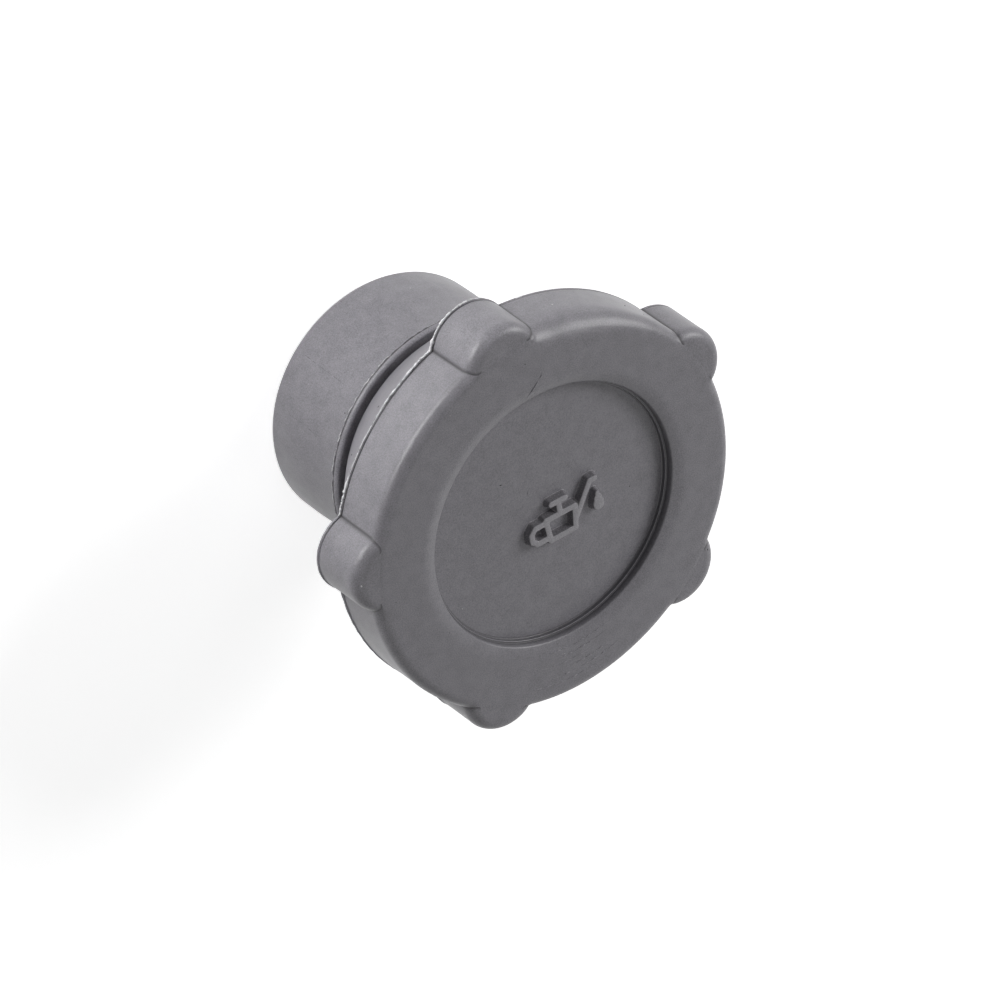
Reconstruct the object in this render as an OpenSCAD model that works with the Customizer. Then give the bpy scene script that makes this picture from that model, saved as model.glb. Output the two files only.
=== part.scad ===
// Push-in oil filler cap, moulded in one piece from rubber.
// The cap stands on the open end of its plug, on z = 0, with its axis on Z.
// One of the grip lobes points along +Y.

/* [Plug] */
// Radius of the plug at its open end
plug_r = 20.75; // [18:0.05:24]
// Height of the straight land at the open end
land_h = 4; // [2:0.5:7]
// Radius of the plug just under the retaining lip
waist_r = 19.9; // [17.5:0.05:23.5]
// Height of the plug from its open end to the retaining lip
plug_h = 19.4; // [14:0.2:26]
// Rounding of the open end's outer edge
end_round = 0.9; // [0.3:0.1:1.8]

/* [Lip, groove and skirt] */
// How far the retaining lip stands out from the plug's land
lip_reach = 1.45; // [0.6:0.05:3]
// Thickness of the lip
lip_t = 1.1; // [0.6:0.1:2]
// Rounding of the lip's upper edge
lip_round = 0.9; // [0.2:0.1:1.6]
// Width of the groove that grips the sheet metal round the filler hole
groove_w = 1.3; // [0.8:0.1:3]
// Depth of the groove inside the lip's edge
groove_depth = 3.4; // [1.5:0.1:5]
// How far the skirt's lower edge stands back from the lip's edge
skirt_setback = 1.0; // [0:0.1:2]
// Height of the conical skirt under the head
skirt_h = 14.6; // [6:0.1:22]
// Rounding of the skirt's lower edge
skirt_round = 0.4; // [0.1:0.1:1]
// Step from the skirt's upper end out to the head's wall
skirt_step = 0.4; // [0:0.1:3]

/* [Hollow] */
// Thickness of the plug's wall at the waist
plug_wall = 4.8; // [3:0.1:8]
// Rubber left between the hollow and the floor of the recess
roof_t = 7.6; // [4:0.1:12]
// Rounding of the hollow's upper corner
roof_fillet = 4; // [1:0.5:8]
// Rounding of the hollow's mouth
mouth_round = 1.2; // [0.4:0.1:2.5]

/* [Head] */
// Radius of the head between the lobes, at the mould seam
head_r = 32.6; // [30:0.1:38]
// Height of the head from its back to the crown of its face
head_h = 10; // [7:0.1:16]
// Draft of the head's wall and of the lobes, in degrees
wall_draft = 1.2; // [0:0.1:4]
// Rounding of the outer edge of the face
edge_round = 1.8; // [0.6:0.1:3]
// How far the mould seam stands proud of the wall
seam_reach = 0.2; // [0.1:0.05:0.5]
// Height of the mould seam
seam_t = 0.4; // [0.2:0.1:1]

/* [Grip lobes] */
// Number of lobes round the head
lobe_count = 5; // [3:1:8]
// Radius of a lobe at the mould seam
lobe_r = 6.85; // [4:0.05:9]
// How far the lobes stand out from the head
lobe_reach = 3.4; // [1.5:0.1:5]
// How far the lobes' tops lie below the crown of the face
lobe_drop = 0.3; // [0.06:0.02:0.8]

/* [Face recess] */
// Radius of the recess at its rim
recess_r = 22; // [15:0.1:25]
// Depth of the recess below its rim
recess_depth = 1.9; // [1:0.1:3]
// Width over which the face rolls down to the rim
roll_w = 2.2; // [1:0.1:3.5]
// How far the rim lies below the crown of the face
roll_drop = 0.4; // [0.1:0.05:0.8]
// Rounding of the rim itself
rim_round = 0.35; // [0.1:0.05:0.6]
// Width of the ledge left by the mould's insert
ledge_w = 0.3; // [0.1:0.05:0.8]
// Height of that ledge above the recess floor
ledge_h = 0.7; // [0.3:0.1:0.9]
// Draft of the recess wall, in degrees
recess_draft = 6; // [0:1:12]

/* [Hidden] */
$fn = 96;
// Overlap that keeps joined and cut forms clear of each other's faces
bite = 1;
// Height of the lobes' feet over the head's back, so that the two faces stay apart
lobe_lift = 0.06;
// Steps in a quarter of a rounding
steps = 8;
// Steps along the blend from the land to the waist
blend_steps = 10;

lip_r = plug_r + lip_reach;
lip_top = plug_h + lip_t;
groove_top = lip_top + groove_w;
groove_r = lip_r - groove_depth;
skirt_r = lip_r - skirt_setback;
seam_z = groove_top + skirt_h;
crown_z = seam_z + head_h;
lobe_foot = seam_z + lobe_lift;
lobe_top = crown_z - lobe_drop;
rim_z = crown_z - roll_drop;
recess_z = rim_z - recess_depth;
bore_r = waist_r - plug_wall;
roof_z = recess_z - roof_t;
// Rounding of the lip's lower edge
lip_edge = 0.15;
// Rounding of its upper edge, at most what its thickness leaves
lip_curve = min(lip_round, lip_t - lip_edge - 0.05);
// Where the land has blended down to the waist
blend_top = land_h + (plug_h - land_h) * 0.75;

// Points of an arc about [x, y] from angle a0 to angle a1
function arc(x, y, r, a0, a1, n = steps) =
    [for (i = [0:n]) let (a = a0 + (a1 - a0) * i / n) [x + r * cos(a), y + r * sin(a)]];

// Radius lost to draft over a height h
function lost(h, draft) = h * tan(draft);

// Smooth step from 0 to 1
function ease(t) = (1 - cos(180 * t)) / 2;

// Radius of the arc that is level at one end and falls by drop over the width w
function roll_radius(w, drop) = (w * w + drop * drop) / (2 * drop);

// Outline of a drafted wall with the mould seam at its foot and a rounded upper edge;
// r is the wall's radius at its foot z0, and z1 is the top
function wall_outline(r, z0, z1) =
    let (cx = r - lost(z1 - z0 - edge_round, wall_draft) - edge_round / cos(wall_draft))
    concat(
        [[r + seam_reach, z0], [r + seam_reach, z0 + seam_t]],
        [[r - lost(seam_t, wall_draft), z0 + seam_t]],
        arc(cx, z1 - edge_round, edge_round, wall_draft, 90)
    );

// Outline of the plug, from its open end up to the retaining lip
function plug_outline() = concat(
    arc(plug_r - end_round, end_round, end_round, -90, 0),
    [for (i = [0:blend_steps]) let (t = i / blend_steps) [
        plug_r - (plug_r - waist_r) * ease(t),
        land_h + (blend_top - land_h) * t
    ]],
    [[waist_r, plug_h]]
);

// Outline of the lip, the groove over it and the conical skirt, up to the seam
function skirt_outline() = concat(
    arc(lip_r - lip_edge, plug_h + lip_edge, lip_edge, -90, 0, 3),
    arc(lip_r - lip_curve, lip_top - lip_curve, lip_curve, 0, 90, 6),
    [[groove_r, lip_top], [groove_r, groove_top]],
    arc(skirt_r - skirt_round, groove_top + skirt_round, skirt_round, -90, 0, 4),
    [[head_r - skirt_step, seam_z]]
);

// Outline of the hollow, from its roof down to the open end
function hollow_outline() = concat(
    [[0, roof_z]],
    arc(bore_r - roof_fillet, roof_z - roof_fillet, roof_fillet, 90, 0),
    arc(bore_r + mouth_round, mouth_round, mouth_round, 180, 270)
);

// Everything that is round about the cap's axis, as one turned form
module turned_body() {
    rotate_extrude()
        polygon(concat(
            hollow_outline(),
            plug_outline(),
            skirt_outline(),
            wall_outline(head_r, seam_z, crown_z),
            [[0, crown_z]]
        ));
}

// The grip lobes: drafted round posts that stand out of the head's wall
module lobes() {
    for (i = [0:lobe_count - 1])
        rotate([0, 0, 90 + i * 360 / lobe_count])
            translate([head_r + lobe_reach - lobe_r, 0, 0])
                rotate_extrude()
                    polygon(concat(
                        [[0, lobe_foot]],
                        wall_outline(lobe_r, lobe_foot, lobe_top),
                        [[0, lobe_top]]
                    ));
}

// What is taken out of the face: the roll to the rim, the stepped wall and the floor
module recess() {
    roll_r = roll_radius(roll_w, roll_drop);
    roll_a = asin(roll_w / roll_r);
    ledge_z = recess_z + ledge_h;
    ledge_out = recess_r - rim_round - lost(recess_depth - ledge_h, recess_draft);
    ledge_in = ledge_out - ledge_w;
    rotate_extrude()
        polygon(concat(
            [[0, recess_z]],
            [[ledge_in - lost(ledge_h, recess_draft), recess_z], [ledge_in, ledge_z]],
            [[ledge_out, ledge_z]],
            arc(recess_r, rim_z - rim_round, rim_round, 180 - recess_draft, 90 + roll_a, 5),
            arc(recess_r + roll_w, crown_z - roll_r, roll_r, 90 + roll_a, 90),
            [[recess_r + roll_w, crown_z + bite], [0, crown_z + bite]]
        ));
}

module cap() {
    color([0.36, 0.36, 0.37])
        difference() {
            union() {
                turned_body();
                lobes();
            }
            recess();
        }
}

cap();
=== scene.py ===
"""Looks of a push-in rubber oil filler cap, dressed over its CAD frame.

The rubber body, the raised oil can sign, the marks of wear and the specks are classes that build their
own meshes; the finishes and the studio are classes too. Sizes are in millimetres, and every mesh is made in
metres, in the frame of the CAD model.
"""

import logging
import math
from dataclasses import dataclass
from enum import Enum

import bmesh
import bpy
import numpy as np
from mathutils import Matrix, Vector, geometry, noise


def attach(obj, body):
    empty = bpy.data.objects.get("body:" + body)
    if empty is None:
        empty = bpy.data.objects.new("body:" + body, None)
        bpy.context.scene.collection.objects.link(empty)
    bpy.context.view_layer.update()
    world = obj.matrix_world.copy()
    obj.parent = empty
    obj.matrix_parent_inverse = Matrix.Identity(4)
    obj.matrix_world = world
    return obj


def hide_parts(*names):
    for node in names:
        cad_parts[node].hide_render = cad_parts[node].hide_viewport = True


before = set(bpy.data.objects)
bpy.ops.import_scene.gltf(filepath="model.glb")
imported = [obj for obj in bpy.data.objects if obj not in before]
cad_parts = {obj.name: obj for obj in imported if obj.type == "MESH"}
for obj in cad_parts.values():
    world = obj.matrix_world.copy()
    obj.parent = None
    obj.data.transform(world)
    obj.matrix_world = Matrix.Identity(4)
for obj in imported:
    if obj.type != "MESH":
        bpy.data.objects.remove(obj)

log = logging.getLogger("cap")

MM = 0.001
BODY = "root"
NODE = "cap"


# Small helpers


def linear(hex_colour: str) -> tuple[float, float, float, float]:
    """Turn an sRGB hex colour into Blender's linear one.

    Args:
        hex_colour: Six hex digits, such as "8a8a8c".

    Returns:
        Linear red, green and blue, and an alpha of 1.
    """
    parts = [int(hex_colour[i : i + 2], 16) / 255 for i in (0, 2, 4)]
    flat = [c / 12.92 if c <= 0.04045 else ((c + 0.055) / 1.055) ** 2.4 for c in parts]
    return (*flat, 1.0)


def smooth_step(low: float, high: float, value: np.ndarray) -> np.ndarray:
    """Rise smoothly from 0 at low to 1 at high.

    Args:
        low: Where the rise starts.
        high: Where the rise ends.
        value: Values to map.

    Returns:
        The mapped values, between 0 and 1.
    """
    t = np.clip((value - low) / (high - low), 0.0, 1.0)
    return t * t * (3 - 2 * t)


def add_node(tree: bpy.types.NodeTree, kind: str, links: dict | None = None, **settings) -> bpy.types.Node:
    """Add a node to a tree with its settings and links.

    Args:
        tree: The node tree.
        kind: The node's type name.
        links: Input name or index, to a socket that feeds it or a value that it holds.
        **settings: Attributes to set on the node.

    Returns:
        The new node.
    """
    node = tree.nodes.new(kind)
    for name, value in settings.items():
        setattr(node, name, value)
    for name, value in (links or {}).items():
        if isinstance(value, bpy.types.NodeSocket):
            tree.links.new(value, node.inputs[name])
        else:
            node.inputs[name].default_value = value
    return node


def mesh_object(name: str, points: np.ndarray, faces: list[tuple[int, ...]],
                layers: dict[str, np.ndarray] | None = None) -> bpy.types.Object:
    """Make a smooth mesh object at the origin from points in millimetres.

    Args:
        name: Name of the object and of its mesh.
        points: Points, one row each, in millimetres.
        faces: Point indices of each face.
        layers: Attribute name to its value at each point.

    Returns:
        The object, linked into the scene, with its faces pointing outwards.
    """
    mesh = bpy.data.meshes.new(name)
    mesh.from_pydata((np.asarray(points) * MM).tolist(), [], faces)
    for label, values in (layers or {}).items():
        mesh.attributes.new(label, "FLOAT", "POINT").data.foreach_set("value", values.astype(np.float32))
    work = bmesh.new()
    work.from_mesh(mesh)
    bmesh.ops.remove_doubles(work, verts=work.verts, dist=1e-8)
    bmesh.ops.recalc_face_normals(work, faces=work.faces)
    work.to_mesh(mesh)
    work.free()
    mesh.shade_smooth()
    made = bpy.data.objects.new(name, mesh)
    bpy.context.scene.collection.objects.link(made)
    return made


def report(piece: bpy.types.Object) -> None:
    """Log a finished piece with its number of faces."""
    log.info("%s: %d faces", piece.name, len(piece.data.polygons))


# The turned outline


@dataclass(frozen=True)
class Corner:
    """A corner of an outline: its radius and height, and the rounding that it gets, in mm."""

    r: float
    z: float
    rounding: float = 0.0


def rounded_path(corners: list[Corner], step: float, arc_steps: int = 5) -> list[tuple[float, float]]:
    """Draw an outline through corners, with roundings as arcs and close loops that hold them.

    Args:
        corners: Corners in order.
        step: Longest straight stretch between two points.
        arc_steps: Stretches in each rounding.

    Returns:
        Radius and height of each point, in order.
    """
    at = [np.array([c.r, c.z]) for c in corners]
    pieces: list[list[np.ndarray]] = []
    for i, corner in enumerate(corners):
        if corner.rounding <= 0 or i in (0, len(corners) - 1):
            pieces.append([at[i]])
            continue
        into = (at[i] - at[i - 1]) / np.linalg.norm(at[i] - at[i - 1])
        out = (at[i + 1] - at[i]) / np.linalg.norm(at[i + 1] - at[i])
        turn = math.atan2(into[0] * out[1] - into[1] * out[0], float(into @ out))
        reach = corner.rounding * math.tan(abs(turn) / 2)
        normal = np.array([-into[1], into[0]]) * math.copysign(1.0, turn)
        centre = at[i] - into * reach + normal * corner.rounding
        arm = -normal * corner.rounding
        arc = []
        for k in range(arc_steps + 1):
            a = turn * k / arc_steps
            spin = np.array([[math.cos(a), -math.sin(a)], [math.sin(a), math.cos(a)]])
            arc.append(centre + spin @ arm)
        pieces.append(arc)
    points = [pieces[0][0]]
    for before, after in zip(pieces, pieces[1:]):
        start, end = before[-1], after[0]
        gap = float(np.linalg.norm(end - start))
        cuts = [k / math.ceil(gap / step) for k in range(1, math.ceil(gap / step))]
        hold = 0.14 / gap if gap > 0.5 else 0.0
        if hold and len(before) > 1:
            cuts.append(hold)
        if hold and len(after) > 1:
            cuts.append(1 - hold)
        points += [start + (end - start) * t for t in sorted(cuts)]
        points += after if gap > 1e-9 else after[1:]
    return [(float(p[0]), float(p[1])) for p in points]


@dataclass(frozen=True)
class CapSizes:
    """Driving sizes of the cap in mm and degrees, with the names and values of the part's source.

    Crease is the one that the source doesn't have: the fine fillet where a lobe meets the wall.
    """

    plug_r: float = 20.75
    land_h: float = 4.0
    waist_r: float = 19.9
    plug_h: float = 19.4
    end_round: float = 0.9
    lip_reach: float = 1.45
    lip_t: float = 1.1
    groove_w: float = 1.3
    groove_depth: float = 3.4
    skirt_setback: float = 1.0
    skirt_h: float = 14.6
    skirt_round: float = 0.4
    skirt_step: float = 0.4
    plug_wall: float = 4.8
    roof_t: float = 7.6
    roof_fillet: float = 4.0
    mouth_round: float = 1.2
    head_r: float = 32.6
    head_h: float = 10.0
    wall_draft: float = 1.2
    edge_round: float = 1.8
    seam_reach: float = 0.2
    seam_t: float = 0.4
    lobe_count: int = 5
    lobe_r: float = 6.85
    lobe_reach: float = 3.4
    lobe_drop: float = 0.3
    recess_r: float = 22.0
    recess_depth: float = 1.9
    roll_w: float = 2.2
    roll_drop: float = 0.4
    rim_round: float = 0.35
    ledge_w: float = 0.3
    ledge_h: float = 0.7
    recess_draft: float = 6.0
    crease: float = 0.12

    @property
    def lip_r(self) -> float:
        """Radius of the retaining lip."""
        return self.plug_r + self.lip_reach

    @property
    def lip_top(self) -> float:
        """Height of the lip's upper side."""
        return self.plug_h + self.lip_t

    @property
    def groove_r(self) -> float:
        """Radius of the groove's bottom."""
        return self.lip_r - self.groove_depth

    @property
    def groove_top(self) -> float:
        """Height of the groove's upper side, where the skirt starts."""
        return self.lip_top + self.groove_w

    @property
    def skirt_r(self) -> float:
        """Radius of the skirt's lower edge."""
        return self.lip_r - self.skirt_setback

    @property
    def bore_r(self) -> float:
        """Radius of the hollow."""
        return self.waist_r - self.plug_wall

    @property
    def seam_z(self) -> float:
        """Height of the mould seam's lower side, at the head's back."""
        return self.groove_top + self.skirt_h

    @property
    def crown_z(self) -> float:
        """Height of the face's crown."""
        return self.seam_z + self.head_h

    @property
    def rim_z(self) -> float:
        """Height of the recess's rim."""
        return self.crown_z - self.roll_drop

    @property
    def recess_z(self) -> float:
        """Height of the recess's floor."""
        return self.rim_z - self.recess_depth

    @property
    def roof_z(self) -> float:
        """Height of the hollow's roof."""
        return self.recess_z - self.roof_t

    @property
    def lobe_c(self) -> float:
        """Distance from the axis to a lobe's centre."""
        return self.head_r + self.lobe_reach - self.lobe_r

    @property
    def lobe_top(self) -> float:
        """Height of the lobes' flat tops."""
        return self.crown_z - self.lobe_drop

    @property
    def roll_r(self) -> float:
        """Radius at which the face starts to roll down to the recess."""
        return self.recess_r + self.roll_w

    def wall_at(self, z: float, foot_r: float, top: float) -> float:
        """Work out the radius of a drafted wall with a rounded upper edge.

        Args:
            z: Height at which the radius is wanted, in mm.
            foot_r: Radius at the mould seam, in mm.
            top: Height at which the rounding ends, in mm.

        Returns:
            The radius in mm.
        """
        draft = math.radians(self.wall_draft)
        over = z - top + self.edge_round
        if over <= self.edge_round * math.sin(draft):
            return foot_r - (z - self.seam_z) * math.tan(draft)
        straight = (top - self.seam_z - self.edge_round) * math.tan(draft)
        drawn = straight + self.edge_round / math.cos(draft)
        return foot_r - drawn + math.sqrt(max(self.edge_round**2 - over**2, 0.0))

    def sector_angle(self, angle: np.ndarray) -> np.ndarray:
        """Angle from the middle of the nearest lobe, never negative, in radians."""
        sector = 2 * math.pi / self.lobe_count
        return np.abs((angle - math.pi / 2 + sector / 2) % sector - sector / 2)

    def posts(self, angle: np.ndarray, post_r: float) -> np.ndarray:
        """Work out how far the lobes reach.

        Args:
            angle: Angles from the nearest lobe's middle, in radians.
            post_r: Radius of the lobes themselves, in mm.

        Returns:
            Their distance from the axis in mm, far inside it where no lobe stands.
        """
        square = post_r**2 - (self.lobe_c * np.sin(angle)) ** 2
        reach = self.lobe_c * np.cos(angle) + np.sqrt(np.maximum(square, 0))
        return np.where(square > 0, reach, -1e3)

    def outline(self, angle: np.ndarray, wall_r: float, post_r: float) -> np.ndarray:
        """Work out the radius of the head with its lobes at one height.

        Args:
            angle: Angles from the nearest lobe's middle, in radians.
            wall_r: Radius of the wall between the lobes at that height, in mm.
            post_r: Radius of the lobes themselves at that height, in mm.

        Returns:
            Radius at each angle, in mm.
        """
        lobe = self.posts(angle, post_r)
        blend = np.maximum(self.crease - np.abs(wall_r - lobe), 0) / self.crease
        return np.maximum(wall_r, lobe) + blend * blend * self.crease / 4

    def crease_angle(self, wall_r: float, post_r: float) -> float:
        """Angle from a lobe's middle to the crease at its foot, in radians."""
        return math.acos((wall_r**2 + self.lobe_c**2 - post_r**2) / (2 * wall_r * self.lobe_c))


# The moulded body


@dataclass(frozen=True)
class Ring:
    """One ring of the skin, in mm.

    Between the lobes it has the radius r. Where post is set, it goes round lobes of that radius too, and
    share says how far it stands out from the circle r towards that outline. Shade is painted shade: it
    darkens the rubber's colour.
    """

    r: float
    z: float
    post: float = 0.0
    share: float = 1.0
    shade: float = 0.0


@dataclass(frozen=True)
class Sector:
    """A stretch round the cap that fades in over one span of azimuths in degrees and out over another."""

    rise: tuple[float, float]
    fall: tuple[float, float]

    def share(self, azimuth: np.ndarray) -> np.ndarray:
        """How far each azimuth lies in the sector, from 0 to 1."""
        return smooth_step(*self.rise, azimuth) * smooth_step(*reversed(self.fall), azimuth)


@dataclass(frozen=True)
class Skin:
    """Points of the skin in mm: where they were drawn, and where they have been moved to."""

    drawn: np.ndarray
    moved: np.ndarray

    @property
    def radius(self) -> np.ndarray:
        """Distance from the axis at which each point was drawn."""
        return np.hypot(self.drawn[:, 0], self.drawn[:, 1])

    @property
    def height(self) -> np.ndarray:
        """Height at which each point was drawn."""
        return self.drawn[:, 2]

    @property
    def azimuth(self) -> np.ndarray:
        """Azimuth at which each point was drawn, in degrees."""
        return np.degrees(np.arctan2(self.drawn[:, 1], self.drawn[:, 0]))


@dataclass(frozen=True)
class RubberBody:
    """The moulded body: one closed skin from the hollow's roof round to the middle of the face.

    Attributes:
        sizes: The cap's sizes.
        lobe_columns: Columns of faces over half a lobe.
        wall_columns: Columns of faces from a lobe's crease to the middle of the wall beside it.
        centre_r: Radius of the rings round the two poles, in mm.
        wave: Height of the slow waves in the skin, in mm.
        sag: How far the skirt's lower edge hangs down, in mm.
        lip_line: Height of the moulding line under the lip's bead, in mm.
        lip_slope: How far the lip's upper side rises towards the groove, in mm.
        wide_round: Rounding of the face's edge where it is widest, in mm.
        flush: Share of the lobes' drop by which their tops are raised.
        painted_shading: Painted shade on the rounding of the face's edge.
        creased: Painted shade in the creases at the lobes' feet.
        crease_w: Width over which that shade fades, in mm.
        painted_wall_shade: Painted shade on the recess's wall.
        widest: Where the face's edge is rounded most.
        sunk: Where the lobe stands that is raised less.
        sunk_by: How much less, as a share of the lobes' drop.
        trimmed: Where the mould seam was trimmed flush.
        parted: Where the parting line's painted shade shows in full over the seam.
        edge_shade_span: Where the painted shade on the face's edge is kept.
    """

    sizes: CapSizes
    lobe_columns: int = 24
    wall_columns: int = 28
    centre_r: float = 0.4
    wave: float = 0.05
    sag: float = 0.3
    lip_line: float = 0.4
    lip_slope: float = 0.12
    wide_round: float = 3.9
    flush: float = 0.85
    painted_shading: float = 0.22
    creased: float = 0.9
    crease_w: float = 0.3
    painted_wall_shade: float = 0.65
    widest: Sector = Sector((26, 68), (73, 85))
    sunk: Sector = Sector((66, 72), (86, 96))
    sunk_by: float = 0.65
    trimmed: Sector = Sector((10, 25), (76, 84))
    parted: Sector = Sector((78, 86), (151, 159))
    edge_shade_span: Sector = Sector((88, 104), (152, 170))

    def swell(self, steps: int = 10) -> list[Corner]:
        """Draw the plug from its land down to its waist.

        Args:
            steps: Straight stretches in the blend.

        Returns:
            Corners in order, from the land upwards.
        """
        s = self.sizes
        corners = []
        for k in range(steps + 1):
            t = k / steps
            ease = (1 - math.cos(math.pi * t)) / 2
            rise = (s.plug_h - s.land_h) * 0.75 * t
            corners.append(Corner(s.plug_r - (s.plug_r - s.waist_r) * ease, s.land_h + rise))
        return corners

    def plug_rings(self, longest: float = 2.2) -> list[Ring]:
        """Draw the hollow, the plug, the lip with its moulding line, the groove and the skirt.

        Args:
            longest: Longest straight stretch between two rings, in mm.

        Returns:
            Rings in order, from the hollow's roof down, round the mouth and up to the mould seam.
        """
        s = self.sizes
        under = rounded_path([Corner(self.centre_r, s.roof_z), Corner(s.bore_r, s.roof_z, s.roof_fillet),
                              Corner(s.bore_r, 0, s.mouth_round), Corner(s.plug_r, 0, s.end_round),
                              *self.swell(), Corner(s.waist_r, s.plug_h, 0.15),
                              Corner(s.lip_r + 0.12, s.plug_h, 0.05)], longest)
        rings = [Ring(r, z) for r, z in under]
        # The lip's lower edge stands proud, and over it runs the moulding line, a fine groove darkened with
        # painted shade
        rings += [Ring(s.lip_r + 0.1, s.plug_h + 0.14), Ring(s.lip_r - 0.08, s.plug_h + 0.18, shade=1.0),
                  Ring(s.lip_r - 0.1, s.plug_h + 0.34, shade=1.0)]
        # The bead on the lip is a quarter round
        bead = s.lip_top - s.plug_h - self.lip_line
        for k in range(9):
            a = math.pi / 2 * k / 8
            rings.append(Ring(s.lip_r - bead * (1 - math.cos(a)), s.lip_top - bead * (1 - math.sin(a))))
        # The lip's upper side, the groove, and the skirt with its hanging edge
        lip_z = s.lip_top + self.lip_slope
        over = rounded_path([Corner(s.lip_r - bead, s.lip_top), Corner(s.lip_r - 1.9, lip_z, 0.6),
                             Corner(s.groove_r, lip_z, 0.5), Corner(s.groove_r, s.groove_top, 0.1),
                             Corner(s.skirt_r - 1.2, s.groove_top, 0.3),
                             Corner(s.skirt_r + 0.1, s.groove_top - self.sag, s.skirt_round),
                             Corner(s.head_r - s.skirt_step, s.seam_z)], longest)
        return rings + [Ring(r, z) for r, z in over[1:]]

    def head_rings(self) -> list[Ring]:
        """Draw the head: its back, the mould seam, the wall with the lobes and the rounded edges.

        Returns:
            Rings in order, from the head's back up to the lobes' flat tops.
        """
        s = self.sizes
        start, foot = s.head_r - s.skirt_step, s.seam_z + s.seam_t
        proud, post = s.head_r + s.seam_reach, s.lobe_r + s.seam_reach
        # The head's back, from the skirt out round the lobes, and the ridge of the seam
        rings = [Ring(start, s.seam_z, post, k / 4) for k in range(1, 4)]
        rings += [Ring(proud - 0.05, s.seam_z, post - 0.05), Ring(proud, s.seam_z + 0.05, post),
                  Ring(proud, foot - 0.08, post), Ring(proud - 0.06, foot, post - 0.06)]
        # The parting line is a fine groove over the seam, darkened with painted shade: its depth, its rise
        # and its painted shade
        parting = ((0.01, 0.01, 0.5), (0.09, 0.05, 1.0), (0.09, 0.14, 1.0), (0.01, 0.24, 0.1))
        for depth, rise, shade in parting:
            rings.append(Ring(s.head_r - depth, foot + rise, s.lobe_r - depth, shade=shade))
        # The drafted wall, then its rounded edge in steps of 9 degrees
        first, rounding = foot + 0.45, s.lobe_top - s.edge_round
        levels = [first + k * (rounding - first) / 10 for k in range(11)]
        levels += [s.lobe_top - s.edge_round * (1 - math.sin(math.radians(9 * k))) for k in range(1, 11)]
        for z in levels:
            # Painted shade on the edge's rounding, growing over its first half
            shade = self.painted_shading * min(max((z - rounding) / (0.5 * s.edge_round), 0.0), 1.0)
            wall, lobe = s.wall_at(z, s.head_r, s.crown_z), s.wall_at(z, s.lobe_r, s.lobe_top)
            rings.append(Ring(wall, z, lobe, shade=shade))
        # The lobes' flat tops, in ever shorter steps in to the wall's circle, with a little painted shade
        last = rings[-1]
        rings += [Ring(last.r, last.z, last.post, share, 0.12) for share in (0.8, 0.55, 0.3, 0.12, 0.04)]
        return rings

    def face_rings(self) -> list[Ring]:
        """Draw the face: the rest of the edge's rounding, the roll, the stepped rim and the floor.

        Returns:
            Rings in order, from the lobes' flat tops in to the middle of the recess.
        """
        s = self.sizes
        # The edge's rounding, from the height of the lobes' tops up to the crown, with painted shade that
        # fades towards the crown
        steep = math.asin(1 - s.lobe_drop / s.edge_round)
        middle = s.wall_at(s.crown_z, s.head_r, s.crown_z)
        rings = []
        for k in range(7):
            a = steep + (math.pi / 2 - steep) * k / 6
            z = s.crown_z - s.edge_round * (1 - math.sin(a))
            rings.append(Ring(middle + s.edge_round * math.cos(a), z, shade=0.2 * (1 - k / 6)))
        # The flat of the face, its roll down to the recess, and the rim's rounding
        path = rounded_path([Corner(middle, s.crown_z), Corner(s.roll_r, s.crown_z)], 0.8)[1:]
        bend = (s.roll_w**2 + s.roll_drop**2) / (2 * s.roll_drop)
        tilt = math.asin(s.roll_w / bend)
        for k in range(1, 8):
            a = tilt * k / 8
            path.append((s.roll_r - bend * math.sin(a), s.crown_z - bend * (1 - math.cos(a))))
        for k in range(6):
            a = math.pi / 2 + tilt + (math.radians(90 - s.recess_draft) - tilt) * k / 5
            path.append((s.recess_r + s.rim_round * math.cos(a), s.rim_z - s.rim_round * (1 - math.sin(a))))
        # The recess's wall with its ledge, and the floor
        lean = math.tan(math.radians(s.recess_draft))
        ledge_z = s.recess_z + s.ledge_h
        out = s.recess_r - s.rim_round - (s.recess_depth - s.ledge_h) * lean
        inner = out - s.ledge_w
        path += rounded_path([Corner(*path[-1]), Corner(out, ledge_z, 0.08), Corner(inner, ledge_z, 0.12),
                              Corner(inner - s.ledge_h * lean, s.recess_z, 0.15),
                              Corner(self.centre_r, s.recess_z)], 1.6)[1:]
        # Painted shade on the recess's wall, all but the ledge's edge
        for r, z in path:
            wall = inner - 0.3 < r < s.recess_r and z < s.rim_z - s.rim_round * 0.9
            step = abs(r - inner) < 0.06 and z > ledge_z - 0.1
            rings.append(Ring(r, z, shade=self.painted_wall_shade if wall and not step else 0.0))
        return rings

    def columns(self) -> np.ndarray:
        """Place the columns of one lobe's sector, close together at the creases.

        Returns:
            Angles over the creases' angle where the lobe is, and 1 to 2 between the crease and the
            sector's end, for both halves of a sector.
        """
        near = 1 - (1 - np.arange(self.lobe_columns) / self.lobe_columns) ** 1.6
        far = 1 + (np.arange(self.wall_columns + 1) / self.wall_columns) ** 1.6
        half = np.concatenate([near, far])
        return np.concatenate([-half[:0:-1], half])[:-1]

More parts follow.
